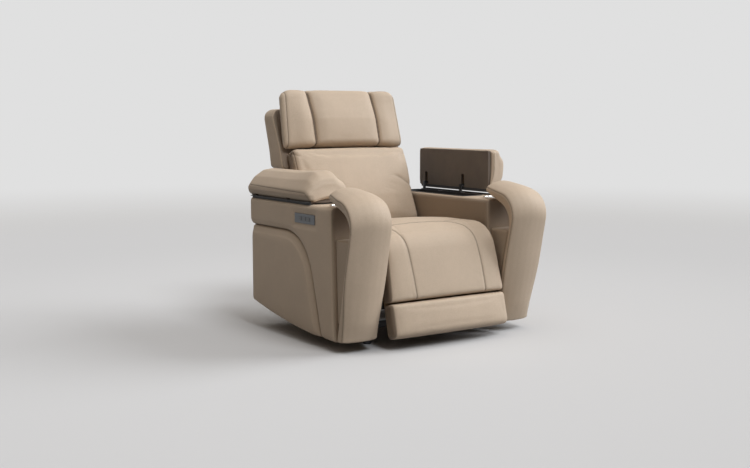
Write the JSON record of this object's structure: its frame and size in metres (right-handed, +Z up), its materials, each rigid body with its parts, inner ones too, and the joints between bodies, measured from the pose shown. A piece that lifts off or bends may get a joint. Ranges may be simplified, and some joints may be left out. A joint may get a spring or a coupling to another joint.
{
  "type": "power_recliner",
  "caption": "Power recliner: channelled headrest, unfolding chaise footrest on a hidden linkage, scroll-front storage arms with hinged padded lids and cup holders",
  "frame": {"origin": "on the floor, under the middle of the box round the whole object; the chair's own middle plane is at X = -0.0385, because the right arm's lid stands open past the arm", "axes": "+Z is up, -Y is the front, where the footrest is, and +X is the right side as seen from in front of the chair; left and right in the names are meant that way too"},
  "size_m": [1.131, 1.1021, 1.1105],
  "materials": {
    "arm_left": "soft matt taupe leather, fine grain",
    "arm_right": "soft matt taupe leather, fine grain",
    "back_cushion": "soft matt taupe leather, fine grain",
    "back_frame": "black powder coat, satin",
    "back_shell": "soft matt taupe leather, fine grain",
    "base_frame": "black powder coat, satin",
    "button_1": "black, fine texture",
    "button_2": "black, fine texture",
    "button_3": "black, fine texture",
    "chaise_pad": "soft matt taupe leather, fine grain",
    "control_panel": "gunmetal, satin",
    "coupler_link_left": "zinc plated",
    "coupler_link_right": "zinc plated",
    "cup_holder_left": "spun stainless",
    "cup_holder_right": "spun stainless",
    "foot_front_left": "black moulded",
    "foot_front_right": "black moulded",
    "foot_rear_left": "black moulded",
    "foot_rear_right": "black moulded",
    "footrest_board": "plywood",
    "footrest_bracket_left": "black powder coat, satin",
    "footrest_bracket_right": "black powder coat, satin",
    "footrest_drive": "black moulded housing",
    "footrest_fork": "zinc plated",
    "footrest_pad": "soft matt taupe leather, fine grain",
    "front_post_left": "soft matt taupe leather, fine grain",
    "front_post_right": "soft matt taupe leather, fine grain",
    "front_scroll_left": "soft matt taupe leather, fine grain",
    "front_scroll_right": "soft matt taupe leather, fine grain",
    "guide_link_left": "zinc plated",
    "guide_link_right": "zinc plated",
    "headrest_arms": "black powder coat, satin",
    "headrest_cushion": "soft matt taupe leather, fine grain",
    "headrest_frame": "black powder coat, satin",
    "lid_board_left": "dark brown lining on board",
    "lid_board_right": "dark brown lining on board",
    "lid_hinge_leaf_1_left": "zinc plated",
    "lid_hinge_leaf_1_right": "zinc plated",
    "lid_hinge_leaf_2_left": "zinc plated",
    "lid_hinge_leaf_2_right": "zinc plated",
    "lid_hinge_left": "black powder coat, satin",
    "lid_hinge_right": "black powder coat, satin",
    "lid_pad_left": "soft matt taupe leather, fine grain",
    "lid_pad_right": "soft matt taupe leather, fine grain",
    "lift_link_left": "zinc plated",
    "lift_link_right": "zinc plated",
    "recline_drive": "black moulded housing",
    "recline_fork": "zinc plated",
    "seat_cushion": "soft matt taupe leather, fine grain",
    "seat_frame": "black powder coat, satin",
    "side_panel_left": "soft matt taupe leather, fine grain",
    "side_panel_right": "soft matt taupe leather, fine grain",
    "side_plate_left": "black powder coat, satin",
    "side_plate_right": "black powder coat, satin",
    "steady_link_left": "zinc plated",
    "steady_link_right": "zinc plated",
    "storage_tray_left": "black moulded",
    "storage_tray_right": "black moulded",
    "torque_tube": "black powder coat, satin"
  },
  "bodies": {
    "chair": {"arm_left": "arm_left", "arm_right": "arm_right", "base_frame": "base_frame", "control_panel": "control_panel", "cup_holder_left": "cup_holder_left", "cup_holder_right": "cup_holder_right", "foot_front_left": "foot_front_left", "foot_front_right": "foot_front_right", "foot_rear_left": "foot_rear_left", "foot_rear_right": "foot_rear_right", "footrest_drive": "footrest_drive", "front_post_left": "front_post_left", "front_post_right": "front_post_right", "front_scroll_left": "front_scroll_left", "front_scroll_right": "front_scroll_right", "lid_hinge_left": "lid_hinge_left", "lid_hinge_right": "lid_hinge_right", "recline_drive": "recline_drive", "seat_cushion": "seat_cushion", "seat_frame": "seat_frame", "side_panel_left": "side_panel_left", "side_panel_right": "side_panel_right", "side_plate_left": "side_plate_left", "side_plate_right": "side_plate_right", "storage_tray_left": "storage_tray_left", "storage_tray_right": "storage_tray_right"},
    "lid_left": {"lid_board_left": "lid_board_left", "lid_pad_left": "lid_pad_left", "lid_hinge_leaf_1_left": "lid_hinge_leaf_1_left", "lid_hinge_leaf_2_left": "lid_hinge_leaf_2_left"},
    "lid_right": {"lid_board_right": "lid_board_right", "lid_pad_right": "lid_pad_right", "lid_hinge_leaf_1_right": "lid_hinge_leaf_1_right", "lid_hinge_leaf_2_right": "lid_hinge_leaf_2_right"},
    "footrest": {"footrest_board": "footrest_board", "chaise_pad": "chaise_pad", "footrest_pad": "footrest_pad", "footrest_bracket_left": "footrest_bracket_left", "footrest_bracket_right": "footrest_bracket_right"},
    "lift": {"lift_link_left": "lift_link_left", "lift_link_right": "lift_link_right", "torque_tube": "torque_tube"},
    "guide": {"guide_link_left": "guide_link_left", "guide_link_right": "guide_link_right"},
    "coupler": {"coupler_link_left": "coupler_link_left", "coupler_link_right": "coupler_link_right"},
    "steady": {"steady_link_left": "steady_link_left", "steady_link_right": "steady_link_right"},
    "footrest_slide": {"footrest_fork": "footrest_fork"},
    "recline_slide": {"recline_fork": "recline_fork"},
    "back": {"back_shell": "back_shell", "back_cushion": "back_cushion", "back_frame": "back_frame", "headrest_arms": "headrest_arms"},
    "headrest": {"headrest_cushion": "headrest_cushion", "headrest_frame": "headrest_frame"},
    "button_1_body": {"button_1": "button_1"},
    "button_2_body": {"button_2": "button_2"},
    "button_3_body": {"button_3": "button_3"}
  },
  "joints": [
    {"name": "footrest_swing", "type": "hinge", "parent": "chair", "child": "footrest", "pos_m": [-0.0385, -0.41646, 0.50443], "axis": [-1, 0, 0], "range_deg": [0, 76]},
    {"name": "lift_swing", "type": "hinge", "parent": "chair", "child": "lift", "pos_m": [-0.0385, -0.173, 0.38], "axis": [-1, 0, 0], "range_deg": [0, 76.5]},
    {"name": "guide_swing", "type": "hinge", "parent": "chair", "child": "guide", "pos_m": [-0.0385, -0.11957, 0.35269], "axis": [-1, 0, 0], "range_deg": [0, 76.5]},
    {"name": "coupler_swing", "type": "hinge", "parent": "lift", "child": "coupler", "pos_m": [-0.0385, -0.11213, 0.09329], "axis": [-1, 0, 0], "range_deg": [-76.5, 0]},
    {"name": "steady_swing", "type": "hinge", "parent": "lift", "child": "steady", "pos_m": [-0.0385, -0.1277, 0.16666], "axis": [-1, 0, 0], "range_deg": [-76.5, 0]},
    {"name": "footrest_push", "type": "slide", "parent": "chair", "child": "footrest_slide", "axis": [0, -1, 0], "range_m": [0, 0.07438]},
    {"name": "back_recline", "type": "hinge", "parent": "chair", "child": "back", "pos_m": [-0.0385, 0.217, 0.42], "axis": [-1, 0, 0], "range_deg": [0, 36]},
    {"name": "recline_push", "type": "slide", "parent": "chair", "child": "recline_slide", "axis": [0, -1, 0], "range_m": [0, 0.05612]},
    {"name": "headrest_tilt", "type": "hinge", "parent": "back", "child": "headrest", "pos_m": [-0.0385, 0.34511, 0.82123], "axis": [1, 0, 0], "range_deg": [-9, 13]},
    {"name": "lid_left_turn", "type": "hinge", "parent": "chair", "child": "lid_left", "pos_m": [-0.5405, -0.023, 0.64], "axis": [0, -1, 0], "range_deg": [0, 90]},
    {"name": "lid_right_turn", "type": "hinge", "parent": "chair", "child": "lid_right", "pos_m": [0.4635, -0.023, 0.64], "axis": [0, -1, 0], "range_deg": [0, 90]},
    {"name": "button_1_press", "type": "slide", "parent": "chair", "child": "button_1_body", "axis": [1, 0, 0], "range_m": [0, 0.0012], "stiffness_N_per_m": 400, "springref_m": -0.001},
    {"name": "button_2_press", "type": "slide", "parent": "chair", "child": "button_2_body", "axis": [1, 0, 0], "range_m": [0, 0.0012], "stiffness_N_per_m": 400, "springref_m": -0.001},
    {"name": "button_3_press", "type": "slide", "parent": "chair", "child": "button_3_body", "axis": [1, 0, 0], "range_m": [0, 0.0012], "stiffness_N_per_m": 400, "springref_m": -0.001}
  ],
  "couplings": [
    {"joint": "lift_swing", "follows": "footrest_swing", "ratio": 1},
    {"joint": "guide_swing", "follows": "footrest_swing", "ratio": 1},
    {"joint": "coupler_swing", "follows": "footrest_swing", "ratio": -1},
    {"joint": "steady_swing", "follows": "footrest_swing", "ratio": -1},
    {"joint": "footrest_push", "follows": "footrest_swing", "m_per_rad": 0.055697},
    {"joint": "recline_push", "follows": "back_recline", "m_per_rad": 0.088527}
  ]
}
